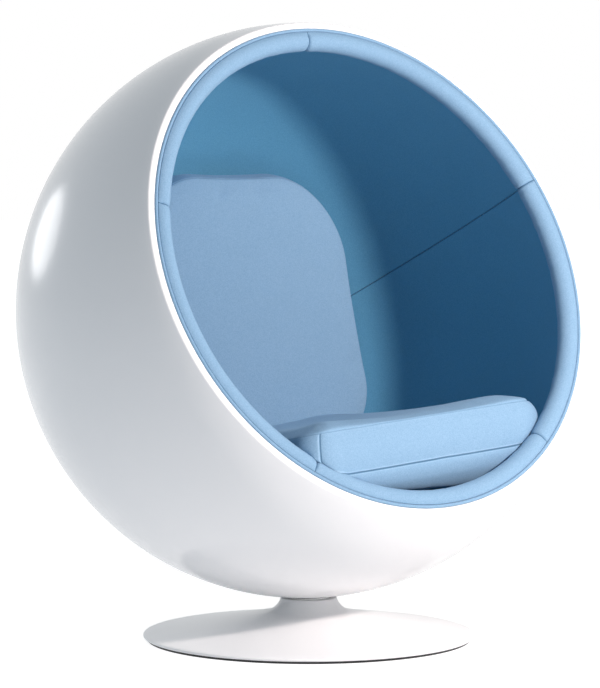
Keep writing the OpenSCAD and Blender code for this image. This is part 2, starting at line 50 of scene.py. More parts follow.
BALL = np.array([0.0, 17.0, 630.0])  # centre of the ball
SHELL_R = 550.0
SHELL_WALL = 7.0
OPENING_OFF = 246.5
OPENING_TILT = math.radians(23.5)
LIP_W = 12.0
LIP_DEPTH = 22.5
LIP_ROUND, LIP_EDGE = 5.0, 1.6  # outer and inner rounding
CLOTH_T = 2.5
BOWL_R = 515.3
ROLL_RHO, ROLL_H, ROLL_R = 460.87, 230.5, 20.0
COVER_END = math.radians(53)
PIPING_RHO, PIPING_H, PIPING_R = 476.27, 245.5, 3.3
PANELS = 5
PANEL_START = math.radians(92.4)
PANEL_TURN = math.radians(72)
TUCK_R = 4.0
REST_GAP = 0.5

ACROSS = np.array([1.0, 0.0, 0.0])
FACING = np.array([0.0, -math.cos(OPENING_TILT), math.sin(OPENING_TILT)])
RISING = np.array([0.0, math.sin(OPENING_TILT), math.cos(OPENING_TILT)])
LIP_IN = math.sqrt(SHELL_R**2 - OPENING_OFF**2) - LIP_W

SEAT_W, SEAT_DEPTH, SEAT_DRAW = 588.0, 620.0, 7.0
SEAT_CORNERS = [84.0, 78.0, 78.0, 42.0]  # front right, rear right, rear left, front left
SEAT_BAND, SEAT_CROWN, SEAT_END_CROWN, SEAT_BELLY = 83.0, 9.0, 29.0, 64.0
SEAT_PUFF, SEAT_END_PUFF, SEAT_LEFT_PUFF, SEAT_BOW = 13.0, 33.0, 12.0, 12.0
SEAT_FULLNESS, SEAT_END_FULLNESS, SEAT_BELLY_FULLNESS = 7, 3, 12
SEAT_WIDEST = -0.6  # level of the widest place of the front and rear
END_ROUNDNESS, END_FALL_SHARE, END_FALL_FULLNESS = 0.7, 0.995, 5
SEAT_DROP, SEAT_FORWARD, SEAT_ASIDE = 274.0, 49.0, 9.0
SEAT_TILT, SEAT_CANT, SEAT_TURN = math.radians(8), math.radians(3.6), math.radians(4)
BACK_W, BACK_H, BACK_CORNER, BACK_DRAW = 538.0, 580.0, 164.0, 2.0
BACK_T, BACK_CROWN, BACK_BELLY, BACK_PUFF, BACK_TAPER = 96.0, 17.0, 30.0, 7.0, 0.18
BACK_OFF, BACK_DROP = 295.0, 33.0
BACK_LEAN, BACK_TURN = math.radians(2.5), math.radians(10.5)
SUPPORT_DROP, SUPPORT_R = 360.0, 280.0

NECK_TOP, RECESS_R, RECESS_FLOOR = 79.0, 43.5, 44.0
FLARE_C, FLARE_R, DISC_SLOPE, RIM_SLOPE = (91.3, 89.7), 39.0, math.radians(13), math.radians(7)
BASE_R, RIM_LIFT, RIM_T = 318.5, 4.9, 5.8
CAST_WALL, HUB_R, HUB_LOW, BORE_R = 6.0, 34.0, 19.0, 24.03
PLATE_T, LEDGE_R, FOOT_W, FOOT_R = 3.0, 292.6, 8.0, 311.5


def smooth(x, low=0.0, high=1.0):
    """0 below low, 1 above high and an S-curve between them."""
    t = np.clip((np.asarray(x, float) - low) / (high - low), 0, 1)
    return t * t * (3 - 2 * t)


def from_ball(rho, turn, h):
    """A point by its distance from the opening's axis, its turn about it and its height."""
    rho, turn, h = np.broadcast_arrays(rho, turn, h)
    return (BALL + (rho * np.cos(turn))[..., None] * ACROSS
            + (rho * np.sin(turn))[..., None] * RISING + h[..., None] * FACING)


class Ripple:
    """A smooth seeded wave over one or two lengths, between about -1 and 1."""

    def __init__(self, seed, count=9):
        rng = np.random.default_rng(seed)
        self.ways = rng.normal(size=(count, 3))
        self.ways /= np.linalg.norm(self.ways, axis=1)[:, None]
        self.pitch = rng.uniform(0.6, 1.6, count)
        self.phase = rng.uniform(0, 2 * math.pi, count)

    def __call__(self, places, length):
        """places holds points; length is the typical wave length."""
        waves = places @ self.ways.T * self.pitch * 2 * math.pi / length + self.phase
        return np.sin(waves).sum(-1) / math.sqrt(len(self.pitch) * 2)


# node trees
def operator(operation, swapped=False):
    """A Math node's operation as a method of a wire, with its sides swapped if asked."""
    def apply(self, *others):
        values = (self, *others)
        return self.maths(operation, *(values[::-1] if swapped else values))
    return apply


class Wire:
    """One output of a node; sums with it become Math nodes of the same tree."""

    def __init__(self, maker, socket):
        self.maker, self.socket = maker, socket

    def out(self, name):
        return Wire(self.maker, self.socket.node.outputs[name])

    def maths(self, operation, *values, clamp=False):
        return self.maker.node("ShaderNodeMath", {"operation": operation, "use_clamp": clamp},
                               dict(enumerate(values)))

    __add__, __radd__ = operator("ADD"), operator("ADD", swapped=True)
    __sub__, __rsub__ = operator("SUBTRACT"), operator("SUBTRACT", swapped=True)
    __mul__, __rmul__ = operator("MULTIPLY"), operator("MULTIPLY", swapped=True)
    __truediv__, __pow__, __mod__ = operator("DIVIDE"), operator("POWER"), operator("MODULO")
    floor, sin, cos = operator("FLOOR"), operator("SINE"), operator("COSINE")
    at_least = operator("MAXIMUM")

    def held(self):
        return self.maths("ADD", self, 0.0, clamp=True)

    def between(self, low, high, to_low=0.0, to_high=1.0):
        """An S-curve from to_low, where the value is low, to to_high."""
        return self.maker.node("ShaderNodeMapRange", {"interpolation_type": "SMOOTHSTEP"},
                               {0: self, 1: low, 2: high, 3: to_low, 4: to_high})


class Maker:
    """Fills one node tree."""

    def __init__(self, tree):
        self.tree = tree

    def node(self, kind, settings=None, sockets=None, out=0):
        node = self.tree.nodes.new(kind)
        for name, value in (settings or {}).items():
            if name == "stops":
                while len(node.color_ramp.elements) < len(value):
                    node.color_ramp.elements.new(0.5)
                for element, (place, colour) in zip(node.color_ramp.elements, value):
                    element.position, element.color = place, (*colour, 1)
            else:
                setattr(node, name, value)
        for key, value in (sockets or {}).items():
            if isinstance(value, Wire):
                self.tree.links.new(value.socket, node.inputs[key])
            else:
                node.inputs[key].default_value = value
        return Wire(self, node.outputs[out]) if node.outputs else node

    def colour_mix(self, share, first, second, blend="MIX"):
        rgba = [c if isinstance(c, Wire) else (*c, 1) for c in (first, second)]
        return self.node("ShaderNodeMix", {"data_type": "RGBA", "blend_type": blend},
                         {0: share, 6: rgba[0], 7: rgba[1]}, out=2)

    def noise(self, place, scale, detail=2.0, rough=0.5):
        return self.node("ShaderNodeTexNoise", None, {
            "Vector": place, "Scale": scale, "Detail": detail, "Roughness": rough})

    def cells(self, place, scale):
        return self.node("ShaderNodeTexVoronoi", None, {"Vector": place, "Scale": scale})


def finish_of(build):
    """A material. build fills its tree and returns what its surface socket takes."""
    material = bpy.data.materials.new(build.__name__)
    material.use_nodes = True
    material.node_tree.nodes.clear()
    maker = Maker(material.node_tree)
    place = maker.node("ShaderNodeTexCoord").out("Object")
    maker.node("ShaderNodeOutputMaterial", None, {"Surface": build(maker, place)})
    return material


def surface(maker, colour, rough, marks, depth, **sockets):
    """A Principled shader whose fine marks stand up by depth, in metres."""
    bump = maker.node("ShaderNodeBump", None, {"Strength": 1.0, "Distance": depth, "Height": marks})
    named = {key.replace("_", " "): (*value, 1) if isinstance(value, tuple) else value
             for key, value in sockets.items()}
    return maker.node("ShaderNodeBsdfPrincipled", None, {
        "Base Color": colour, "Roughness": rough, "Normal": bump, **named})


# finishes
def gel_coat(maker, place):
    cloud = maker.noise(place, 3.0, 3.0)
    peel = maker.noise(place, 90.0, 1.0)
    colour = maker.colour_mix(cloud, (0.86, 0.875, 0.89), (0.875, 0.885, 0.895))
    return surface(maker, colour, 0.17 + 0.05 * maker.noise(place, 14.0, 4.0), peel, 0.00003)


def base_lacquer(maker, place):
    cloud = maker.noise(place, 5.0, 3.0)
    peel = maker.noise(place, 160.0, 2.0)
    colour = maker.colour_mix(cloud, (0.86, 0.875, 0.89), (0.88, 0.885, 0.895))
    return surface(maker, colour, 0.26 + 0.06 * maker.noise(place, 20.0, 4.0), peel, 0.00004)


WOOL_DEEP = (0.155, 0.3, 0.45)
WOOL_PALE = (0.26, 0.41, 0.58)
# painted highlight on the fold beside a seam
WOOL_FOLD_HIGHLIGHT = (0.42, 0.62, 0.83)
# painted shade in the crease of a seam
WOOL_CREASE_SHADE = (0.03, 0.11, 0.2)
# painted shade: the lining's wall is darker and deeper blue than its roll and the cushions, though it
# is the same cloth
WALL_SHADE_TINT = (0.5, 0.9, 0.97)


def wool_cloth(maker, place):
    """Felted wool of deep and pale fibres, with painted shade in a seam's crease and on the lining's
    wall, and a painted highlight on a seam's fold.
    """
    seam, fold_side, seam_depth, wall = (
        maker.node("ShaderNodeAttribute", {"attribute_name": name}).out("Fac")
        for name in ("seam_way", "seam_fold", "seam_depth", "wall_share"))
    grain = maker.noise(place, 520.0, 3.0, 0.6)
    fibre = maker.noise(place, 1500.0, 2.0, 0.7)
    cloud = maker.noise(place, 7.0, 3.0)
    mixed = (grain.between(0.3, 0.7) * 0.55 + fibre.between(0.3, 0.7) * 0.25 + cloud * 0.2).held()
    # painted highlight: the cloth is paler on the fold beside a seam
    fold = seam.between(0.001, 0.002) * seam.between(0.003, 0.005, 1.0, 0.0) * fold_side
    # painted shade: the cloth is darker in a seam's crease, as much as the seam is deep
    painted_crease_shade = seam.between(0.0004, 0.0016, 1.0, 0.0) * seam_depth
    colour = maker.colour_mix(mixed, WOOL_DEEP, WOOL_PALE)
    # painted shade: the lining's wall is multiplied darker and bluer
    colour = maker.colour_mix(wall, colour, WALL_SHADE_TINT, "MULTIPLY")
    colour = maker.colour_mix(fold * 0.3, colour, WOOL_FOLD_HIGHLIGHT)
    colour = maker.colour_mix(painted_crease_shade * 0.75, colour, WOOL_CREASE_SHADE)
    return surface(maker, colour, 0.88, grain * 0.6 + fibre * 0.4, 0.0004, Specular_IOR_Level=0.3,
                   Sheen_Weight=0.12, Sheen_Roughness=0.5, Sheen_Tint=(0.55, 0.8, 1.0))


def open_foam(maker, place):
    cells = maker.cells(place, 700.0)
    colour = maker.colour_mix(cells, (0.84, 0.78, 0.56), (0.89, 0.84, 0.66))
    return surface(maker, colour, 0.95, cells, 0.0004)


def birch_ply(maker, place):
    along = maker.node("ShaderNodeVectorMath", {"operation": "MULTIPLY"},
                       {0: place, 1: (12.0, 160.0, 160.0)})
    grain = maker.noise(along, 3.0, 5.0, 0.6)
    layers = maker.noise(place, 400.0, 1.0)
    colour = maker.node("ShaderNodeValToRGB", {"stops": [
        (0.25, (0.52, 0.37, 0.2)), (0.5, (0.7, 0.55, 0.35)), (0.8, (0.78, 0.65, 0.46))]},
        {0: grain})
    return surface(maker, colour, 0.7, grain + layers * 0.3, 0.0002)


def black_rubber(maker, place):
    fine = maker.noise(place, 900.0, 3.0)
    bloom = maker.noise(place, 30.0, 4.0)
    colour = maker.colour_mix(bloom, (0.028, 0.028, 0.03), (0.05, 0.05, 0.052))
    return surface(maker, colour, 0.62 + bloom * 0.2, fine, 0.0001)


def black_powder_coat(maker, place):
    peel = maker.noise(place, 420.0, 2.0)
    rub = maker.noise(place, 18.0, 5.0, 0.65)
    colour = maker.colour_mix(rub.between(0.55, 0.8), (0.035, 0.035, 0.04), (0.07, 0.07, 0.075))
    return surface(maker, colour, 0.45 + peel * 0.2, peel, 0.00012)


def zinc_steel(maker, place):
    spangle = maker.cells(place, 260.0).out("Color")
    tone = maker.node("ShaderNodeSeparateColor", None, {0: spangle})
    scratch = maker.noise(place, 300.0, 4.0)
    colour = maker.colour_mix(tone, (0.55, 0.56, 0.57), (0.66, 0.67, 0.69))
    return surface(maker, colour, 0.3 + scratch * 0.2, scratch, 0.00005, Metallic=1.0)


def polished_steel(maker, place):
    wear = maker.noise(place, 200.0, 4.0)
    colour = maker.colour_mix(wear, (0.62, 0.63, 0.65), (0.7, 0.71, 0.73))
    return surface(maker, colour, 0.08 + wear * 0.1, wear, 0.00001, Metallic=1.0)


def sintered_bronze(maker, place):
    grain = maker.cells(place, 1400.0)
    colour = maker.colour_mix(maker.noise(place, 60.0, 4.0), (0.5, 0.33, 0.15), (0.72, 0.53, 0.28))
    return surface(maker, colour, 0.35 + grain * 0.25, grain, 0.0001, Metallic=0.9)


def turned_aluminium(maker, place):
    rings = maker.node("ShaderNodeTexWave", {
        "wave_type": "RINGS", "rings_direction": "Z", "bands_direction": "X"},
        {"Vector": place, "Scale": 900.0, "Distortion": 1.0, "Detail": 1.0})
    colour = maker.colour_mix(maker.noise(place, 40.0, 3.0), (0.72, 0.73, 0.74), (0.8, 0.81, 0.82))
    return surface(maker, colour, 0.22 + rings * 0.12, rings, 0.00003, Metallic=1.0)


FINISHES = {slot: finish_of(build) for slot, build in {
    "shell_white": gel_coat, "base_white": base_lacquer, "cloth": wool_cloth, "foam": open_foam,
    "batten_wood": birch_ply, "rubber_black": black_rubber, "plate_black": black_powder_coat,
    "steel": zinc_steel, "bearing_steel": polished_steel, "bronze": sintered_bronze,
    "saddle_aluminium": turned_aluminium}.items()}

for row in frame["record"]["subparts"]:
    node = frame["nodes"].get(row["node"])
    if node is not None:
        node.data.materials.clear()
        node.data.materials.append(FINISHES[row["material_slot"]])


# mesh making
def set_all(thing, **values):
    for name, value in values.items():
        setattr(thing, name, value)


def linked(name, data):
    """A new object in the scene."""
    made = bpy.data.objects.new(name, data)
    bpy.context.scene.collection.objects.link(made)
    return made


def outward(mesh, merge=0.0):
    """Merges doubled points, if a distance is given, and turns the faces outwards."""
    form = bmesh.new()
    form.from_mesh(mesh)
    if merge:
        bmesh.ops.remove_doubles(form, verts=form.verts, dist=merge)
    bmesh.ops.recalc_face_normals(form, faces=form.faces)
    form.to_mesh(mesh)
    form.free()
    return mesh


def placed(name, mesh, slot, body, replaces):
    """A mesh as a piece: shaded smooth, finished, on its body and in place of its nodes."""
    mesh.shade_smooth()
    mesh.materials.clear()
    mesh.materials.append(FINISHES[slot])
    piece = linked(name, mesh)
    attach(piece, body)
    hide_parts(*replaces)
    return piece


def solid(name, points, faces, slot, body, replaces, seam_way=None, **marks):
    """A piece from points in millimetres; a cloth one knows the way to its nearest seam."""
    mesh = bpy.data.meshes.new(name)
    mesh.from_pydata((np.asarray(points) * MM).tolist(), [], faces.tolist())
    if seam_way is not None:
        far = np.minimum(seam_way, SEAM_REACH)
        # the way and depth to a seam also set where the cloth's painted crease shade falls
        marks = {"seam_depth": np.ones(len(far)), **marks, "seam_way": far * MM}
        for title, values in marks.items():
            attribute = mesh.attributes.new(title, "FLOAT", "POINT")
            attribute.data.foreach_set("value", values.astype(np.float32))
    return placed(name, outward(mesh, MERGE * MM), slot, body, replaces)


def skin(grid):
    """Faces between the rows and columns of a grid of point numbers."""
    return np.stack([grid[:-1, :-1], grid[1:, :-1], grid[1:, 1:], grid[:-1, 1:]], -1).reshape(-1, 4)


def slab(front, back):
    """Faces of a closed sheet between two grids of points of the same shape."""
    rows, columns = front.shape[:2]
    index = np.arange(rows * columns).reshape(rows, columns)
    under = index + rows * columns

    def edge(a, b):
        return np.stack([a[:-1], a[1:], b[1:], b[:-1]], -1)

    faces = np.concatenate([
        skin(index), skin(under)[:, ::-1],
        edge(index[0], under[0]), edge(under[-1], index[-1]),
        edge(under[:, 0], index[:, 0]), edge(index[:, -1], under[:, -1])])
    points = np.concatenate([front.reshape(-1, 3), back.reshape(-1, 3)])
    return points, faces


# turned and repeated parts
def tree_with(name, sizes):
    """A geometry tree with named inputs: their kind and first value."""
    tree = bpy.data.node_groups.new(name, "GeometryNodeTree")
    tree.interface.new_socket("Geometry", in_out="INPUT", socket_type="NodeSocketGeometry")
    tree.interface.new_socket("Geometry", in_out="OUTPUT", socket_type="NodeSocketGeometry")
    for title, value in sizes.items():
        kind = "NodeSocketInt" if isinstance(value, int) else "NodeSocketFloat"
        tree.interface.new_socket(title, in_out="INPUT", socket_type=kind).default_value = value
    return tree


def grown(tree, sizes, start=None):
    """The plain mesh that a geometry tree makes from a start mesh and its sizes."""
    carrier = linked("carrier", start or bpy.data.meshes.new("carrier"))
    modifier = carrier.modifiers.new("form", "NODES")
    modifier.node_group = tree
    for item in tree.interface.items_tree:
        if item.in_out == "INPUT" and item.name in sizes:
            modifier[item.identifier] = sizes[item.name]
    seen = carrier.evaluated_get(bpy.context.evaluated_depsgraph_get())
    mesh = bpy.data.meshes.new_from_object(seen)
    carrier.modifiers.remove(modifier)
    bpy.data.objects.remove(carrier)
    return mesh


def tree_end(maker, form, finish):
    """The end of a tree: real geometry with its finish."""
    form = maker.node("GeometryNodeRealizeInstances", None, {0: form})
    form = maker.node("GeometryNodeSetMaterial", None, {"Geometry": form, "Material": finish})
    maker.node("NodeGroupOutput", None, {0: form})


def turning_tree():
    """Turns a closed outline, drawn as distance from the axis and height, once round the axis."""
    tree = tree_with("turned_form", {"Steps": 128})
    maker = Maker(tree)
    inputs = maker.node("NodeGroupInput")
    outline = maker.node("GeometryNodeMeshToCurve", None, {0: inputs.out("Geometry")})
    count = maker.node("GeometryNodeAttributeDomainSize", {"component": "CURVE"}, {0: outline})
    steps = inputs.out("Steps")
    grid = maker.node("GeometryNodeMeshGrid", None, {
        "Vertices X": steps + 1.0, "Vertices Y": count + 1.0})
    index = maker.node("GeometryNodeInputIndex")
    rows = count + 1.0
    turn = (index / rows + 0.00001).floor() * (2 * math.pi) / steps
    along = (index % rows) % count
    spot = maker.node("GeometryNodeSampleIndex", {"data_type": "FLOAT_VECTOR", "domain": "POINT"}, {
        "Geometry": outline, "Value": maker.node("GeometryNodeInputPosition"), "Index": along})
    parts = maker.node("ShaderNodeSeparateXYZ", None, {0: spot})
    place = maker.node("ShaderNodeCombineXYZ", None, {
        0: parts.out("X") * turn.cos(), 1: parts.out("X") * turn.sin(), 2: parts.out("Z")})
    form = maker.node("GeometryNodeSetPosition", None, {"Geometry": grid, "Position": place})
    form = maker.node("GeometryNodeMergeByDistance", None, {
        "Geometry": form, "Distance": MERGE * MM})
    tree_end(maker, form, FINISHES["base_white"])
    return tree


TURNING = turning_tree()


def turned(name, outline, steps, slot, body, replaces, axis=None):
    """A turned piece from its outline in millimetres, about the vertical or another axis."""
    start = bpy.data.meshes.new(name)
    count = len(outline)
    start.from_pydata([(x * MM, 0, z * MM) for x, z in outline],
                      [(i, (i + 1) % count) for i in range(count)], [])
    mesh = grown(TURNING, {"Steps": steps}, start)
    if axis is not None:
        mesh.transform(axis)
    return placed(name, outward(mesh), slot, body, replaces)


OPENING_FRAME = Matrix.Translation(Vector(BALL * MM)) @ Matrix(
    [[ACROSS[i], RISING[i], FACING[i]] for i in range(3)]).to_4x4()


def arc(centre, radius, first, last, steps):
    return [(centre[0] + radius * math.cos(a), centre[1] + radius * math.sin(a))
            for a in np.linspace(first, last, steps + 1)]


def shell_outline():
    """Outer ball from the back to the lip, round the lip, and the inner wall back again."""
    inner = SHELL_R - SHELL_WALL
    round_h = OPENING_OFF - LIP_ROUND
    round_x = math.sqrt((SHELL_R - LIP_ROUND) ** 2 - round_h**2)
    meet = math.atan2(round_h, round_x)
    points = [(0.0, -SHELL_R)]
    points += arc((0, 0), SHELL_R, -math.pi / 2, meet, 110)[1:]
    points += arc((round_x, round_h), LIP_ROUND, meet, math.pi / 2, 8)[1:]
    points += arc((LIP_IN + LIP_EDGE, OPENING_OFF - LIP_EDGE), LIP_EDGE, math.pi / 2, math.pi, 6)
    low = OPENING_OFF - LIP_DEPTH
    points += [(LIP_IN, low), (math.sqrt(inner**2 - low**2), low)]
    points += arc((0, 0), inner, math.asin(low / inner), -math.pi / 2, 60)[1:-1]
    points += [(0.0, -inner)]
    return points


def bezier(a, b, c, t):
    return [a[i] * (1 - t) ** 2 + 2 * b[i] * t * (1 - t) + c[i] * t**2 for i in range(2)]


def trumpet_outline():
    """Neck, flare, disc and rim, then the hollow underside with its hub."""
    top_angle = math.pi - math.asin((NECK_TOP - FLARE_C[1]) / FLARE_R)
    flare = arc(FLARE_C, FLARE_R, top_angle, 1.5 * math.pi - DISC_SLOPE, 26)
    start, end = flare[-1], (BASE_R - RIM_T / 4, RIM_LIFT + RIM_T)
    bend_x = ((end[1] - start[1] + start[0] * math.tan(-DISC_SLOPE) + end[0] * math.tan(RIM_SLOPE))
              / (math.tan(RIM_SLOPE) - math.tan(DISC_SLOPE)))
    bend = (bend_x, end[1] + (end[0] - bend_x) * math.tan(RIM_SLOPE))
    disc = [bezier(start, bend, end, t) for t in np.linspace(0, 1, 37)[1:]]
    rim = arc((BASE_R - RIM_T / 2, RIM_LIFT + RIM_T / 2), RIM_T / 2,
              math.radians(60), -math.pi / 2, 10)
    plate_top = RIM_LIFT + PLATE_T
    hollow_top = RECESS_FLOOR - CAST_WALL
    hollow = [(x, min(hollow_top, z - CAST_WALL)) for x, z in reversed(flare[-1:] + disc)
              if x < LEDGE_R and z - CAST_WALL > plate_top]
    under = [(FOOT_R, RIM_LIFT), (FOOT_R, RIM_LIFT + 2), (FOOT_R - FOOT_W, RIM_LIFT + 2),
             (FOOT_R - FOOT_W, plate_top), (LEDGE_R, plate_top)]
    hub = [(HUB_R, hollow_top), (HUB_R, HUB_LOW), (BORE_R, HUB_LOW), (BORE_R, RECESS_FLOOR)]
    recess = [(RECESS_R, RECESS_FLOOR), (RECESS_R, NECK_TOP - 1), (RECESS_R + 1, NECK_TOP),
              (flare[0][0] - 0.8, NECK_TOP), (flare[0][0] - 0.2, NECK_TOP - 0.25)]
    return recess + flare[1:] + disc[:-1] + rim + under + hollow + hub


def cord_tree():
    """A cord laid on a circle: a covered round cord with a faint unevenness along it."""
    tree = tree_with("piping_cord", {"Ring Radius": 0.476, "Cord Radius": 0.0033,
                                     "Unevenness": 0.0002, "Steps": 480, "Sides": 14, "Seed": 4})
    maker = Maker(tree)
    inputs = maker.node("NodeGroupInput")
    ring = maker.node("GeometryNodeCurvePrimitiveCircle", None, {
        "Resolution": inputs.out("Steps"), "Radius": inputs.out("Ring Radius")})
    section = maker.node("GeometryNodeCurvePrimitiveCircle", None, {
        "Resolution": inputs.out("Sides"), "Radius": inputs.out("Cord Radius")})
    cord = maker.node("GeometryNodeCurveToMesh", None, {"Curve": ring, "Profile Curve": section})
    grain = maker.node("ShaderNodeTexNoise", {"noise_dimensions": "4D"}, {
        "Scale": 60.0, "W": inputs.out("Seed") * 1.0, "Detail": 1.0})
    shift = maker.node("ShaderNodeVectorMath", {"operation": "SCALE"}, {
        0: maker.node("GeometryNodeInputNormal"),
        "Scale": (grain - 0.5) * inputs.out("Unevenness") * 2.0})
    cord = maker.node("GeometryNodeSetPosition", None, {"Geometry": cord, "Offset": shift})
    tree_end(maker, cord, FINISHES["cloth"])
    return tree


turned("shell_moulding", shell_outline(), 288, "shell_white", "chair", ["shell"], OPENING_FRAME)
turned("trumpet_casting", trumpet_outline(), 224, "base_white", "base", ["base_trumpet"])

piping_mesh = grown(cord_tree(), {"Ring Radius": PIPING_RHO * MM, "Cord Radius": PIPING_R * MM})
piping_mesh.transform(OPENING_FRAME @ Matrix.Translation((0, 0, PIPING_H * MM)))
placed("piping_cord", piping_mesh, "cloth", "chair", ["rim_piping"])


# lining
def spokes(angles):
    """Unit ways at some angles."""
    return np.stack([np.cos(angles), np.sin(angles)], -1)


def fading(way, *marks):
    """What a seam does at some way from it: each mark is a height and a half width."""
    return sum(height * np.exp(-((way / width) ** 2)) for height, width in marks)


def lining_profile():
    """Places and facings of the wall, the tuck and the roll, with the way round the roll."""
    reach, clear = BOWL_R - TUCK_R, ROLL_R + TUCK_R
    far = math.hypot(ROLL_RHO, ROLL_H)
    roll_at = math.atan2(ROLL_RHO, -ROLL_H)
    tuck_at = roll_at - math.acos((reach**2 + far**2 - clear**2) / (2 * reach * far))
    tuck_c = np.array([reach * math.sin(tuck_at), -reach * math.cos(tuck_at)])
    roll_c = np.array([ROLL_RHO, ROLL_H])
    wall = np.concatenate([np.linspace(0, tuck_at - 0.05, 96),
                           np.linspace(tuck_at - 0.04, tuck_at, 5)])
    way = roll_c - tuck_c
    wall_way = math.atan2(-math.cos(tuck_at), math.sin(tuck_at))
    tuck = np.linspace(wall_way, math.atan2(way[1], way[0]), 7)[1:-1]
    meet = math.atan2(-way[1], -way[0])
    round_roll = np.linspace(meet, COVER_END - 2 * math.pi, 56)
    from_wall, from_tuck, from_roll = spokes(wall - math.pi / 2), spokes(tuck), spokes(round_roll)
    places = [BOWL_R * from_wall, tuck_c + TUCK_R * from_tuck, roll_c + ROLL_R * from_roll]
    facings = [-from_wall, -from_tuck, from_roll]
    on_roll = [np.zeros(len(wall)), np.linspace(0.1, 0.9, len(tuck)), np.ones(len(round_roll))]
    turn = [np.full(len(wall) + len(tuck), meet), round_roll]
    return [np.concatenate(part) for part in (places, facings, on_roll, turn)]


places, facings, on_roll, roll_turn = lining_profile()
SEAM_STEPS = [0.06, 0.5, 1.0, 1.6, 2.4, 3.4, 4.8, 6.6, 9, 12, 16]  # columns beside a seam
PANEL_EDGE, PANEL_STEP = 22.0, 6.0
WALL_SEAM = (1.5, 1.5), (0.5, 9)
ROLL_SEAM = (3.2, 2.2), (1.3, 11)
GATHER = Ripple(11, 24)
PUCKER = Ripple(12, 24)
SLACK = Ripple(13, 16)


def lining_panel(k):
    """One sewn panel: it dips at its seams, and is gathered where it goes over the roll."""
    reach = PANEL_TURN * ROLL_RHO
    inner_reach = reach - 2 * PANEL_EDGE
    inner = PANEL_EDGE + np.linspace(0, inner_reach, round(inner_reach / PANEL_STEP) + 1)
    ways = np.concatenate([SEAM_STEPS, inner, reach - np.array(SEAM_STEPS[::-1])]) / ROLL_RHO
    turns = PANEL_START + k * PANEL_TURN + ways
    rho, h = places[:, 0][None], places[:, 1][None]
    seam = np.minimum(ways, PANEL_TURN - ways)[:, None] * rho
    at = from_ball(rho, turns[:, None], np.broadcast_to(h, seam.shape))
    along = seam[..., None] * 0 + turns[:, None, None] * [ROLL_RHO, 0, 0]
    roll = on_roll[None]
    under_lip = smooth(roll_turn[None], COVER_END - 2 * math.pi, COVER_END - 2 * math.pi + 0.5)
    dip = fading(seam, *WALL_SEAM) * (1 - roll)
    dip = dip + fading(seam, *ROLL_SEAM) * roll * (0.2 + 0.8 * under_lip)
    inward = fading(roll_turn[None] + math.radians(150), (1, 0.9))
    gather = GATHER(along, 17.0) * 0.55 * inward * roll
    pucker = PUCKER(along, 26.0) * fading(seam, (0.35, 40)) * (1 - roll)
    slack = SLACK(at, 210.0) * 0.5 * (1 - roll)
    lift = gather + np.clip(pucker + slack, -0.8, 0.8) * smooth(seam, 0, 10) - dip
    face = facings[None] + np.zeros(seam.shape + (1,))
    world = (np.cos(turns)[:, None, None] * face[..., :1] * ACROSS
             + np.sin(turns)[:, None, None] * face[..., :1] * RISING + face[..., 1:] * FACING)
    under = -CLOTH_T - dip * roll * 0.9
    points, faces = slab(at + world * lift[..., None], at + world * under[..., None])
    # the wall's share, where the cloth's finish paints shade
    wall = np.broadcast_to(1 - roll, seam.shape)
    return solid(f"lining_panel_{k + 1}", points, faces, "cloth", "chair", [f"liner_panel_{k + 1}"],
                 np.tile(seam.reshape(-1), 2), wall_share=np.tile(wall.reshape(-1), 2))


for k in range(PANELS):
    lining_panel(k)


def roll_filling():
    """The foam under the roll, pinched where the panels are sewn."""
    turns = np.linspace(0, 2 * math.pi, 481)[:-1]
    off = abs((turns - PANEL_START + PANEL_TURN / 2) % PANEL_TURN - PANEL_TURN / 2) * ROLL_RHO
    radius = ROLL_R - CLOTH_T - 0.15 - fading(off, (5.0, 14))
    ways = np.radians(np.linspace(75, 345, 25))
    rho = ROLL_RHO + radius[:, None] * np.cos(ways)
    h = ROLL_H + radius[:, None] * np.sin(ways)
    points = from_ball(rho, turns[:, None], h)
    rows, columns = points.shape[:2]
    index = np.arange(rows * columns).reshape(rows, columns)
    faces = skin(np.pad(index, ((0, 1), (0, 1)), mode="wrap"))
    return solid("roll_filling", points.reshape(-1, 3), faces, "foam", "chair", ["roll_core"])


roll_filling()


# cushions
def cushion_outline(width, depth, corners, draw, count):
    """Points of a rounded rectangle whose sides draw in, and their facings: count on each side,
    from the middle of one corner to the middle of the next."""
    half = np.array([width / 2, depth / 2])
    ways = np.array([(1, -1), (1, 1), (-1, 1), (-1, -1)])
    radii = np.ones(4) * corners
    u = np.linspace(0, 1, 90)[1:-1, None]
    places, facings = [], []
    for q in range(4):
        after = (q + 1) % 4
        centre, following = (half - radii[q]) * ways[q], (half - radii[after]) * ways[after]
        start = math.radians(90 * q)
        side = spokes(start)
        bend = spokes(start + np.radians(np.linspace(-45, 0, 40)))
        next_bend = spokes(start + np.radians(np.linspace(0, 45, 40))[:-1])
        first, last = centre + side * radii[q], following + side * radii[after]
        straight = first + (last - first) * u - side * draw * (1 - (2 * u - 1) ** 2)
        places += [centre + radii[q] * bend, straight, following + radii[after] * next_bend]
        facings += [bend, side + 0 * straight, next_bend]
    places, facings = np.concatenate(places), np.concatenate(facings)
    looped = [np.vstack([rows, rows[:1]]) for rows in (places, facings)]
    steps = np.linalg.norm(np.diff(looped[0], axis=0), axis=1)
    length = np.concatenate([[0], np.cumsum(steps)])
    ends = length[::len(places) // 4]
    wanted = np.concatenate([np.linspace(ends[q], ends[q + 1], count + 1)[:-1] for q in range(4)])
    return [np.stack([np.interp(wanted, length, both[:, i]) for i in range(2)], -1)
            for both in looped]


def dome(share, fullness):
    return np.sqrt(np.clip(1 - share**fullness, 0, 1))


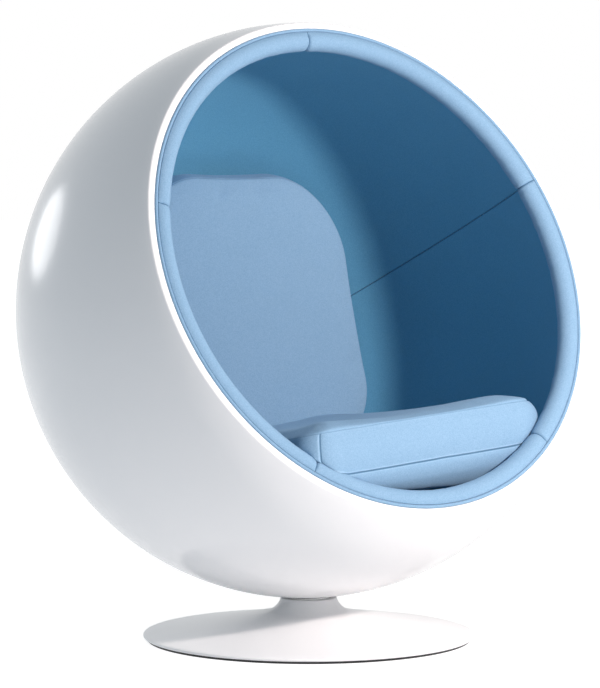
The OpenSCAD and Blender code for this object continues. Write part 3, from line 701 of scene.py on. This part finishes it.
def in_bowl(p):
    q = p - BALL
    far = np.linalg.norm(q, axis=-1, keepdims=True)
    return np.where(far > BOWL_R - REST_GAP, BALL + q * (BOWL_R - REST_GAP) / far, p)


RIM_WAY = np.array([math.sqrt(1 - 0.7**2), 0.7])
SUPPORT_UP = np.array([0, math.sin(SEAT_TILT), math.cos(SEAT_TILT)])
BACK_WAY = np.array([math.sin(BACK_TURN), math.cos(BACK_TURN), 0])


def behind_rim(p):
    """Off the round of the roll and, past it, behind the slope that touches the roll."""
    q = p - BALL
    h = q @ FACING
    side = q - h[..., None] * FACING
    x = np.maximum(np.linalg.norm(side, axis=-1), 0.001)
    from_roll = np.stack([x - ROLL_RHO, h - ROLL_H], -1)
    past = from_roll @ [RIM_WAY[1], -RIM_WAY[0]] > 0
    sloped = np.maximum(from_roll @ RIM_WAY + ROLL_R + REST_GAP, 0)[..., None] * -RIM_WAY
    far = np.maximum(np.linalg.norm(from_roll, axis=-1, keepdims=True), 0.001)
    rounded = np.maximum(ROLL_R + REST_GAP - far, 0) * from_roll / far
    move = np.where(past[..., None], sloped, rounded)
    return p + move[..., :1] * side / x[..., None] + move[..., 1:] * FACING


def on_support(p):
    depth = np.minimum((p - BALL) @ SUPPORT_UP + SUPPORT_DROP - REST_GAP, 0)
    return p - depth[..., None] * SUPPORT_UP


def before_back(p):
    excess = np.maximum((p - BALL) @ BACK_WAY - (BACK_OFF - BACK_CROWN - REST_GAP
                        + math.tan(BACK_LEAN) * (p[..., 2] - BALL[2])), 0)
    return p - excess[..., None] * BACK_WAY


def seat_place(edge, face, share, level, fill=1.0):
    end_puff = np.where(face[..., 0] > 0, SEAT_END_PUFF, SEAT_LEFT_PUFF)
    end_puff = end_puff * (1 - level**2) ** END_ROUNDNESS
    puff = SEAT_PUFF * (1 - ((level - SEAT_WIDEST) / (1 - SEAT_WIDEST)) ** 2)
    x = edge[..., 0] * share + face[..., 0] * end_puff * fill
    y = (edge[..., 1] + face[..., 1] * puff * fill) * share
    endward = np.minimum(abs(x) / (SEAT_W / 2), 1)
    end_fall = dome(END_FALL_SHARE * endward, END_FALL_FULLNESS)
    height = (SEAT_CROWN + SEAT_END_CROWN * endward**2) * end_fall
    fullness = SEAT_END_FULLNESS + (SEAT_FULLNESS - SEAT_END_FULLNESS) * face[..., 1] ** 2
    panel = np.where(level == 1, height * dome(share, fullness), 0) * fill
    panel = panel - np.where(level == -1, SEAT_BELLY * dome(share, SEAT_BELLY_FULLNESS), 0)
    rise = SEAT_BOW * (y / (SEAT_DEPTH / 2)) ** 2 - math.tan(SEAT_TILT) * y + math.tan(SEAT_CANT) * x
    return BALL + np.stack([
        SEAT_ASIDE + math.cos(SEAT_TURN) * x - math.sin(SEAT_TURN) * y,
        math.sin(SEAT_TURN) * x + math.cos(SEAT_TURN) * y - SEAT_FORWARD,
        level * SEAT_BAND / 2 + panel + rise - SEAT_DROP], -1)


def seat_settled(p):
    return on_support(in_bowl(behind_rim(before_back(p))))


def back_place(edge, face, share, level, fill=1.0):
    puff = BACK_PUFF * (1 - level**2) * fill
    z = edge[..., 1] * share + face[..., 1] * puff
    x = (edge[..., 0] * share + face[..., 0] * puff) * (1 - BACK_TAPER * z / (BACK_H / 2))
    panel = np.where(level == 1, BACK_CROWN * dome(share, 3), 0) * fill
    panel = panel - np.where(level == -1, BACK_BELLY * dome(share, 3), 0)
    depth = BACK_OFF + (1 - level) * BACK_T / 2 - panel + math.tan(BACK_LEAN) * (z - BACK_DROP)
    return BALL + np.stack([math.cos(BACK_TURN) * x + math.sin(BACK_TURN) * depth,
                            math.cos(BACK_TURN) * depth - math.sin(BACK_TURN) * x, z - BACK_DROP], -1)


def strip(low, high):
    """Faces between two closed rows of as many points."""
    return np.stack([low, np.roll(low, -1), np.roll(high, -1), high], -1)


def spline_weights(part):
    """Weights of the four points round a place between the middle two."""
    return np.stack([part * (-0.5 + part * (1 - 0.5 * part)), 1 + part**2 * (1.5 * part - 2.5),
                     part * (0.5 + part * (2 - 1.5 * part)), part**2 * (0.5 * part - 0.5)], -1)


def along_loop(values, turns):
    """Values of a closed row at some turns, of four to a full round."""
    at = (turns % 4) / 4 * len(values)
    first = np.floor(at).astype(int)
    weights = spline_weights(at - first)
    return sum(weights[:, i, None] * values[(first + i - 1) % len(values)] for i in range(4))


def turns_past(seam, t):
    """How far round the outline t is past a seam, from -2 to 2."""
    return (t - seam + 2) % 4 - 2


SEAM_SHARES = [0.3, 0.56, 0.76, 0.89, 0.965]  # extra rows on the last step to a seam
BUNCHED = np.array([0.0, 0.1, 0.32, 0.75, 1.5, 2.7, 4.1, 5.4, 6.6, 7.7, 8.8, 9.9, 11.0])
DRAWN_RINGS = 8


class Cushion:
    """A boxed cushion as a net of square meshes: a rear panel, a band and a front panel.

    A point is known by its turn round the outline, of four to a full round, its share of the
    way out from the middle, and its level from the rear seam to the front one.
    """

    def __init__(self, name, place, settle, shape, rings, band_rows, band_seams, upper_fold,
                 upper_depth):
        self.name, self.place, self.settle = name, place, settle
        self.rings, self.band_rows, self.band_seams = rings, band_rows, band_seams
        self.upper_fold, self.upper_depth = upper_fold, upper_depth
        self.edge, self.face = cushion_outline(*shape, 8 * rings)
        self.lay_out()

    def panel_net(self):
        """Each net point's ring and its turn."""
        n = self.rings
        x, y = np.meshgrid(np.arange(-n, n + 1), np.arange(-n, n + 1), indexing="ij")
        k = np.maximum(np.maximum(abs(x), abs(y)), 1)
        t = np.where((x == k) & (y < k), (y + k) / (2 * k), 0.0)
        t = np.where((y == k) & (x > -k), 1 + (k - x) / (2 * k), t)
        t = np.where((x == -k) & (y > -k), 2 + (k - y) / (2 * k), t)
        t = np.where((y == -k) & (x < k), 3 + (x + k) / (2 * k), t)
        return np.maximum(abs(x), abs(y)), t % 4

    def lay_out(self):
        n = self.rings
        ring, t = self.panel_net()
        count = 8 * n
        index = np.arange((2 * n + 1) ** 2).reshape(2 * n + 1, 2 * n + 1)
        side = np.round(t * 2 * n).astype(int) % count
        rim = np.zeros(count, int)
        rim[side[ring == n]] = index[ring == n]
        panel = index.size
        rows = [rim]
        for j in range(1, self.band_rows):
            rows.append(2 * panel + (j - 1) * count + np.arange(count))
        rows.append(rim + panel)
        upper = skin(index)
        self.panel_faces = np.concatenate([upper[:, [0, 3, 2, 1]], upper + panel])
        bands = [strip(a, b) for a, b in zip(rows, rows[1:])]
        self.faces = np.concatenate([self.panel_faces] + bands)
        share, t = (ring / n).reshape(-1), t.reshape(-1)
        band_t = np.tile(np.arange(count) / (2 * n), self.band_rows - 1)
        band_level = np.repeat(np.linspace(-1, 1, self.band_rows + 1)[1:-1], count)
        self.t = np.concatenate([t, t, band_t])
        self.share = np.concatenate([share, share, np.ones(len(band_t))])
        self.level = np.concatenate([np.full(len(t), -1.0), np.full(len(t), 1.0), band_level])
        self.rows = rows

    def points(self, t, share, level, fill=1.0):
        edge, face = along_loop(self.edge, t), along_loop(self.face, t)
        return self.place(edge, face, share, level, fill)

    def loop(self, level, ring):
        """A panel ring's points in the order of their turns."""
        n = self.rings
        at = (self.level == level) & (np.round(self.share * n) == ring)
        at[2 * (2 * n + 1) ** 2:] = False
        ids = np.flatnonzero(at)
        return ids[np.argsort(self.t[ids])]

    def bunched(self, t):
        """Turns drawn towards the band's own seams, so that a seam has close columns."""
        step = 1 / (2 * self.rings)
        for seam in self.band_seams:
            off = turns_past(seam, t) / step
            near = np.interp(abs(off), np.arange(len(BUNCHED)), BUNCHED)
            t = np.where(abs(off) < len(BUNCHED) - 1, seam + np.sign(off) * near * step, t)
        return t


def finished_net(cushion, shift):
    """The cushion's points with close rows along every seam, and its shift there.

    Returns the points, the faces, the way to the nearest seam and the share of a turned-in edge.
    """
    n, count = cushion.rings, 8 * cushion.rings
    columns = cushion.bunched(np.arange(count) / (2 * n))
    t, share, level = cushion.t.copy(), cushion.share.copy(), cushion.level.copy()
    moved = shift.copy()
    for side in (-1.0, 1.0):
        for ring in range(n - DRAWN_RINGS, n + 1):
            ids = cushion.loop(side, ring)
            draw = smooth(ring, n - DRAWN_RINGS, n)
            t[ids] += (cushion.bunched(t[ids]) - t[ids]) * draw
            moved[ids] = along_loop(shift[ids], t[ids])
    for row in cushion.rows[1:-1]:
        t[row] = columns
        moved[row] = along_loop(shift[row], columns)
    new_t, new_share, new_level, new_moved = [t], [share], [level], [moved]
    total = len(t)

    def add_row(at, its_share, its_level, its_shift):
        nonlocal total
        new_t.append(at)
        new_share.append(np.full(count, its_share))
        new_level.append(np.full(count, its_level))
        new_moved.append(its_shift)
        total += count
        return np.arange(total - count, total)

    def near_seam(side):
        """Rows between a panel's last ring and its seam, from the inside."""
        rim = moved[cushion.rows[0 if side < 0 else -1]]
        inner = along_loop(shift[cushion.loop(side, n - 1)], columns)
        return [add_row(columns, (n - 1 + f) / n, side, inner * (1 - f) + rim * f)
                for f in SEAM_SHARES]

    def in_band(row, onward, its_level, way):
        """Rows between a seam and the band's next row, from the seam."""
        return [add_row(columns, 1.0, its_level + way * (1 - f) * 2 / cushion.band_rows,
                        moved[row] * f + moved[onward] * (1 - f)) for f in SEAM_SHARES[::-1]]

    rows = cushion.rows
    low_rows = near_seam(-1.0)
    up_rows = near_seam(1.0)
    whole = (low_rows + [rows[0]] + in_band(rows[0], rows[1], -1.0, 1.0) + rows[1:-1]
             + in_band(rows[-1], rows[-2], 1.0, -1.0)[::-1] + [rows[-1]] + up_rows[::-1])
    swap = np.arange(total)
    swap[rows[0]], swap[rows[-1]] = low_rows[0], up_rows[0]
    bands = [strip(a, b) for a, b in zip(whole, whole[1:])]
    faces = np.concatenate([swap[cushion.panel_faces]] + bands)
    t, share, level, moved = (
        np.concatenate(part) for part in (new_t, new_share, new_level, new_moved))
    form = cushion.settle(cushion.points(t, share, level) + moved)
    round_way = np.linalg.norm(form[rows[-1]] - np.roll(form[rows[-1]], 1, 0), axis=1).sum()
    banded = share == 1
    whole_round = np.ones(len(t))
    low_seam, up_seam = (np.linalg.norm(form - cushion.settle(
        cushion.points(t, whole_round, whole_round * side) + along_loop(shift[rows[i]], t)), axis=1)
        for i, side in ((0, -1.0), (-1, 1.0)))
    way = np.where(banded, np.minimum(low_seam, up_seam), np.where(level < 0, low_seam, up_seam))
    upper = level > 0
    fold = np.where(banded, np.where(upper, cushion.upper_fold, 1.0), 0.0)
    depth = np.where(upper, cushion.upper_depth, 1.0)
    for seam in cushion.band_seams:
        off = turns_past(seam, t) / 4 * round_way
        closer = banded & (abs(off) < way)
        way = np.where(closer, abs(off), way)
        fold = np.where(closer, np.where(off < 0, 1.0, 0.0), fold)
        depth = np.where(closer, 1.0, depth)
    return form, faces, way, fold, depth


SLACK_FILL, PRESSURE, SEAM_SHRINK, FRAMES = 0.7, 3.0, 0.03, 20


def swollen(cushion, cap):
    """How the cover moves as its filling blows it up from a slacker form: a cloth simulation."""
    at = cushion.t, cushion.share, cushion.level
    target = cushion.settle(cushion.points(*at))
    start = cushion.settle(cushion.points(*at, fill=SLACK_FILL))
    mesh = bpy.data.meshes.new(cushion.name)
    mesh.from_pydata((start * MM).tolist(), [], cushion.faces.tolist())
    cover = linked(cushion.name + "_cover", mesh)
    seams = cover.vertex_groups.new(name="seams")
    seams.add(np.concatenate([cushion.rows[0], cushion.rows[-1]]).tolist(), 1.0, "REPLACE")
    cloth = cover.modifiers.new("filling", "CLOTH")
    set_all(cloth.settings, quality=6, mass=0.3, tension_stiffness=30, compression_stiffness=30,
            shear_stiffness=15, bending_stiffness=2, use_pressure=True,
            uniform_pressure_force=PRESSURE, vertex_group_shrink="seams", shrink_min=0.0,
            shrink_max=SEAM_SHRINK)
    cloth.settings.effector_weights.gravity = 0
    cloth.collision_settings.use_collision = False
    set_all(cloth.point_cache, frame_start=1, frame_end=FRAMES)
    scene = bpy.context.scene
    for step in range(1, FRAMES + 1):
        scene.frame_set(step)
    seen = cover.evaluated_get(bpy.context.evaluated_depsgraph_get())
    made = np.zeros(len(target) * 3, np.float32)
    seen.data.vertices.foreach_get("co", made)
    bpy.data.objects.remove(cover)
    scene.frame_set(1)
    shift = made.reshape(-1, 3) / MM - target
    far = np.linalg.norm(shift, axis=1, keepdims=True)
    return shift * np.tanh(far / cap) * cap / np.maximum(far, 1e-6)


PUCKER_ALONG = Ripple(21, 24)
CUSHION_SEAM = (1.0, 1.2), (0.6, 5)


def vertex_normals(points, faces):
    a, b, c, d = (points[faces[:, i]] for i in range(4))
    diagonal = np.cross(c - a, d - b)
    normals = np.zeros_like(points)
    for i in range(4):
        np.add.at(normals, faces[:, i], diagonal)
    return normals / np.maximum(np.linalg.norm(normals, axis=1, keepdims=True), 1e-9)


def sewn(cushion, shift, replaces):
    """The finished cushion: drawn in and puckered at its seams, whose turned-in edges stand up."""
    form, faces, way, fold, depth = finished_net(cushion, shift)
    pucker = PUCKER_ALONG(form, 24.0) * fading(way, (0.4, 14)) * smooth(way, 0, 5)
    lift = fading(way - 2.6, (0.7, 1.4)) * fold + depth * (pucker - fading(way, *CUSHION_SEAM))
    form = cushion.settle(form + vertex_normals(form, faces) * lift[:, None])
    # the fold also places the cloth's painted highlight, and the depth its painted crease shade
    piece = solid(cushion.name, form, faces, "cloth", "chair", replaces, way, seam_fold=fold,
                  seam_depth=depth)
    finer = piece.modifiers.new("finer", "SUBSURF")
    finer.levels = finer.render_levels = 1


def seat_block():
    """The firm block under the seat cushion, covered in cloth and sewn round its upper edge."""
    edge_r, foot_r = 12.0, 3.0  # upper and lower rounding
    bends = np.radians(np.linspace(0, 90, 7))
    flat = np.linspace(0.01, SUPPORT_R - edge_r, 10)
    reach = np.concatenate([flat, SUPPORT_R - edge_r * (1 - np.sin(bends[1:]))])
    sink = np.concatenate([flat * 0, edge_r * (1 - np.cos(bends[1:]))])
    turns = np.linspace(0, 2 * math.pi, 121)[:-1, None]

    def top(r):
        along = np.minimum(r, SUPPORT_R - edge_r) * np.sin(turns)
        return -(SUPPORT_DROP + REST_GAP + SUPPORT_UP[1] * along) / SUPPORT_UP[2]

    def foot(r):
        return -np.sqrt((BOWL_R - 2 * REST_GAP) ** 2 - r**2)

    upper = top(reach) - sink
    inward = SUPPORT_R - foot_r * (1 - np.cos(bends))
    low = foot(SUPPORT_R) + foot_r * (1 - np.sin(bends))
    side = upper[:, -1:] + (low[0] - upper[:, -1:]) * np.linspace(0, 1, 5)[1:-1]
    bottom = np.linspace(SUPPORT_R - foot_r, 0.01, 10)[1:]
    r = np.concatenate([reach, np.full(3, SUPPORT_R), inward, bottom])
    z = np.concatenate([upper, side, low + 0 * turns, foot(bottom) + 0 * turns], axis=1)
    points = BALL + np.stack([r * np.cos(turns), r * np.sin(turns), z], -1)
    count, rows = z.shape
    index = np.arange(count * rows).reshape(count, rows)
    faces = np.concatenate([strip(index[:, j], index[:, j + 1]) for j in range(rows - 1)])
    steps = np.linalg.norm(np.diff(points, axis=1), axis=2)
    length = np.concatenate([np.zeros((count, 1)), np.cumsum(steps, axis=1)], axis=1)
    way = abs(length - length[:, len(reach) - 1:len(reach)])
    return solid("seat_block", points.reshape(-1, 3), faces, "cloth", "chair", ["seat_support"],
                 way.reshape(-1))


seat_block()

seat = Cushion("seat_pad", seat_place, seat_settled, (SEAT_W, SEAT_DEPTH, SEAT_CORNERS, SEAT_DRAW),
               rings=40, band_rows=12, band_seams=[3.02], upper_fold=0.15, upper_depth=0.35)
sewn(seat, swollen(seat, cap=3.0), ["seat_cushion"])
back = Cushion("back_pad", back_place, in_bowl, (BACK_W, BACK_H, BACK_CORNER, BACK_DRAW),
               rings=36, band_rows=12, band_seams=[], upper_fold=0.9, upper_depth=0.6)
sewn(back, swollen(back, cap=5.0), ["back_cushion"])


# stage, camera and light
STUDIO = {"right": 0.2, "left": 0.35, "back": 0.25, "front": 0.35, "above": 0.4}
FILL_TINT = (0.91, 1.0, 1.09)
FLOOR_GLOW = {"right": 0.1, "left": 0.35, "back": 0.2, "front": 0.25}
KEY_POWER, SOFTBOX_POWER = 77.0, 15.0  # watts
FLOOR_REACH = 30.0  # metres
WAYS = {"right": ("X", 1.0), "left": ("X", -1.0), "back": ("Y", 1.0), "front": ("Y", -1.0),
        "above": ("Z", 1.0)}


def lobes(way, levels):
    """Light that comes from each named side at its own level and blends between them."""
    level = 0.0
    for side, strength in levels.items():
        axis, sign = WAYS[side]
        level = (way.out(axis) * sign).at_least(0.0) ** 2.0 * strength + level
    return level


def seen_rays(maker):
    """1 for the rays that see the backdrop, 0 for those that light the chair."""
    path = maker.node("ShaderNodeLightPath")
    return (path.out("Is Camera Ray") + path.out("Is Glossy Ray")
            + path.out("Is Transmission Ray")).held()


def stage_floor(maker, place):
    """Pale floor: a lit sweep to the object, and seen as the white backdrop with a faint shadow."""
    grey = maker.node("ShaderNodeBsdfDiffuse", None, {"Color": (0.7, 0.7, 0.7, 1)})
    split = maker.node("ShaderNodeSeparateXYZ", None, {0: place})
    far = split.out("X") ** 2.0 + split.out("Y") ** 2.0 + 0.1
    lit = maker.node("ShaderNodeEmission", None, {
        "Color": (*FILL_TINT, 1), "Strength": lobes(split, FLOOR_GLOW) / far})
    plain = maker.node("ShaderNodeAddShader", None, {0: grey, 1: lit})
    faint = maker.node("ShaderNodeBsdfDiffuse", None, {"Color": (0.3, 0.3, 0.3, 1)})
    glow = maker.node("ShaderNodeEmission", None, {
        "Color": (1, 1, 1, 1), "Strength": far.between(1.0, 6.0, 0.9)})
    white = maker.node("ShaderNodeAddShader", None, {0: faint, 1: glow})
    return maker.node("ShaderNodeMixShader", None, {0: seen_rays(maker), 1: plain, 2: white})


scene = bpy.context.scene
floor_mesh = bpy.data.meshes.new("studio_floor")
floor_mesh.from_pydata([(x * FLOOR_REACH, y * FLOOR_REACH, 0)
                        for x, y in ((-1, -1), (1, -1), (1, 1), (-1, 1))], [], [(0, 1, 2, 3)])
floor_mesh.materials.append(finish_of(stage_floor))
linked("studio_floor", floor_mesh)

camera = linked("camera", bpy.data.cameras.new("camera"))
camera.location = (-3.59293, -4.77860, 0.94175)
camera.rotation_mode = "QUATERNION"
camera.rotation_quaternion = Vector((0.59754, 0.79940, -0.06259)).to_track_quat("-Z", "Y")
set_all(camera.data, sensor_fit="HORIZONTAL", sensor_width=36.0, lens=187.6, clip_end=200.0)
scene.camera = camera

world = bpy.data.worlds.new("studio")
scene.world = world
world.use_nodes = True
world.node_tree.nodes.clear()
maker = Maker(world.node_tree)
sky = maker.node("ShaderNodeTexCoord").out("Generated")
sky = maker.node("ShaderNodeSeparateXYZ", None, {0: sky})
fill = maker.node("ShaderNodeBackground", None, {
    "Color": (*FILL_TINT, 1), "Strength": lobes(sky, STUDIO)})
white = maker.node("ShaderNodeBackground", None, {"Color": (1, 1, 1, 1), "Strength": 1.0})
maker.node("ShaderNodeOutputWorld", None, {
    "Surface": maker.node("ShaderNodeMixShader", None, {0: seen_rays(maker), 1: fill, 2: white})})


def lamp(name, kind, way, distance=0.0, **settings):
    """A lamp that shines on the ball from the given way."""
    data = bpy.data.lights.new(name, kind)
    set_all(data, **settings)
    holder = linked(name, data)
    way = Vector(way).normalized()
    holder.location = Vector(BALL * MM) + way * distance
    holder.rotation_mode = "QUATERNION"
    holder.rotation_quaternion = way.to_track_quat("Z", "Y")


lamp("key_lamp", "AREA", (0.204, -0.932, 0.31), 2.56, energy=KEY_POWER, shape="DISK", size=0.2,
     color=(1.0, 0.89, 0.845))
lamp("tall_softbox", "AREA", (-0.26, 0.94, 0.20), 4.0, energy=SOFTBOX_POWER, shape="ELLIPSE",
     size=1.5, size_y=1.1)

scene.view_settings.view_transform = "Standard"
